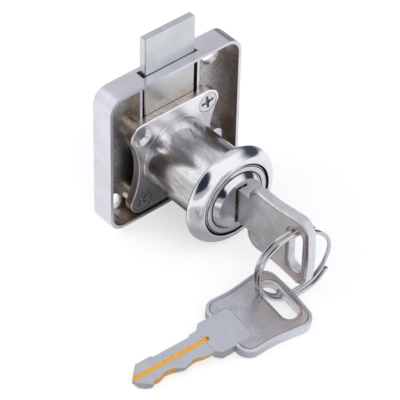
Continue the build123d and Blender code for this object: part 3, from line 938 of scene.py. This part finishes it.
def inside(tree, place, middle, size, start, end):
    """1 within an ellipse on the table, with a smooth step outwards to 0."""
    fit = add_node(tree, "ShaderNodeMapping", vector_type="TEXTURE")
    fit.inputs["Location"].default_value = (middle[0] * MM, middle[1] * MM, table_z * MM)
    fit.inputs["Scale"].default_value = (size[0] * MM, size[1] * MM, 1)
    wire(tree, place, fit.inputs["Vector"])
    length = add_node(tree, "ShaderNodeVectorMath", operation="LENGTH")
    wire(tree, fit.outputs[0], length.inputs[0])
    return change(tree, length.outputs["Value"], start, end, 1.0, 0.0)


def table_shader(tree):
    """A pale table: it keeps soft shadows, is white where it is seen, and in metal shows painted shadows
    and dark patches.
    """
    surface = add_node(tree, "ShaderNodeBsdfDiffuse", Color=table_colour)
    lift = add_node(tree, "ShaderNodeEmission", Color=white)
    wire(tree, times(tree, seen_directly(tree), table_lift), lift.inputs["Strength"])
    both = tree.nodes.new("ShaderNodeAddShader")
    wire(tree, surface.outputs[0], both.inputs[0])
    wire(tree, lift.outputs[0], both.inputs[1])
    mirrored = tree.nodes.new("ShaderNodeLightPath").outputs["Is Glossy Ray"]
    place = tree.nodes.new("ShaderNodeTexCoord").outputs["Object"]
    patches = [(mirrored_all_over, mirrored_grey_and_shadow)]
    for amount, colour, middle, size, start, end in mirrored_painted_shadows:
        patches.append((times(tree, inside(tree, place, middle, size, start, end), amount), colour))
    amount, colour, bounds = mirrored_far
    patches.append((times(tree, along(tree, place, bounds, MM), amount), colour))
    shade = both.outputs[0]
    for amount, colour in patches:
        dark = add_node(tree, "ShaderNodeEmission", Color=(*colour, 1), Strength=1.0)
        mix = tree.nodes.new("ShaderNodeMixShader")
        wire(tree, times(tree, amount, mirrored), mix.inputs[0])
        wire(tree, shade, mix.inputs[1])
        wire(tree, dark.outputs[0], mix.inputs[2])
        shade = mix.outputs[0]
    return shade


def make_table():
    """A round table under the lock."""
    bm = bmesh.new()
    bmesh.ops.create_circle(bm, cap_ends=True, segments=table_segments, radius=table_radius * MM)
    bmesh.ops.translate(bm, verts=bm.verts, vec=(0, 0, table_z * MM))
    mesh = bpy.data.meshes.new("table")
    bm.to_mesh(mesh)
    bm.free()
    table = bpy.data.objects.new("table", mesh)
    bpy.context.scene.collection.objects.link(table)
    table.data.materials.append(stage_material("pale_table", table_shader))


def make_world():
    """Even fill light, a white backdrop, and a room with darker and lighter parts for metal to mirror."""
    world = bpy.data.worlds.new("studio")
    world.use_nodes = True
    bpy.context.scene.world = world
    tree = world.node_tree
    tree.nodes.clear()
    output = tree.nodes.new("ShaderNodeOutputWorld")
    path = tree.nodes.new("ShaderNodeLightPath")
    fill = add_node(tree, "ShaderNodeBackground", Color=(*fill_colour, 1), Strength=fill_strength)
    backdrop = add_node(tree, "ShaderNodeBackground", Color=white, Strength=1.0)
    room = add_node(tree, "ShaderNodeBackground", Strength=1.0)
    ray = tree.nodes.new("ShaderNodeTexCoord").outputs["Generated"]
    walls = tree.nodes.new("ShaderNodeRGB")
    walls.outputs[0].default_value = (*room_white, 1)
    seen = walls.outputs[0]
    for colour, bounds in room_patches:
        seen = mix_colours(tree, along(tree, ray, bounds), seen, colour)
    wire(tree, seen, room.inputs["Color"])
    first = tree.nodes.new("ShaderNodeMixShader")
    wire(tree, path.outputs["Is Glossy Ray"], first.inputs[0])
    wire(tree, fill.outputs[0], first.inputs[1])
    wire(tree, room.outputs[0], first.inputs[2])
    second = tree.nodes.new("ShaderNodeMixShader")
    wire(tree, path.outputs["Is Camera Ray"], second.inputs[0])
    wire(tree, first.outputs[0], second.inputs[1])
    wire(tree, backdrop.outputs[0], second.inputs[2])
    wire(tree, second.outputs[0], output.inputs["Surface"])


def softbox(name, place):
    """A square area lamp that points at the lock."""
    lamp = bpy.data.lights.new(name, "AREA")
    lamp.shape = "SQUARE"
    lamp.size = softbox_size * MM
    lamp.energy = softbox_power
    holder = bpy.data.objects.new(name, lamp)
    bpy.context.scene.collection.objects.link(holder)
    holder.location = Vector(place) * MM
    holder.visible_glossy = False
    toward = Vector(softbox_aim) - Vector(place)
    holder.rotation_mode = "QUATERNION"
    holder.rotation_quaternion = toward.to_track_quat("-Z", "Y")


def make_camera():
    """The photograph's camera, aimed at the lock and slid to the photograph's framing."""
    across, rise, roll = camera_azimuth, camera_elevation, camera_roll
    back = Vector((sin(across) * cos(rise), -cos(across) * cos(rise), sin(rise)))
    level_right = Vector((cos(across), sin(across), 0))
    level_up = back.cross(level_right)
    right = level_right * cos(roll) + level_up * sin(roll)
    up = level_up * cos(roll) - level_right * sin(roll)
    place = back * camera_distance - right * camera_slide_right - up * camera_slide_up
    place.z += camera_aim_height
    data = bpy.data.cameras.new("camera")
    data.sensor_width = camera_sensor
    data.lens = camera_lens
    data.clip_start = camera_clip_start * MM
    data.clip_end = camera_clip_end * MM
    camera = bpy.data.objects.new("camera", data)
    bpy.context.scene.collection.objects.link(camera)
    turn = Matrix((right, up, back)).transposed().to_4x4()
    camera.matrix_world = Matrix.Translation(place * MM) @ turn
    bpy.context.scene.camera = camera


make_table()
make_world()
softbox("front softbox", (-119, -531, 588))
softbox("left softbox", (-534, 430, 397))
make_camera()
bpy.context.scene.view_settings.view_transform = "Standard"
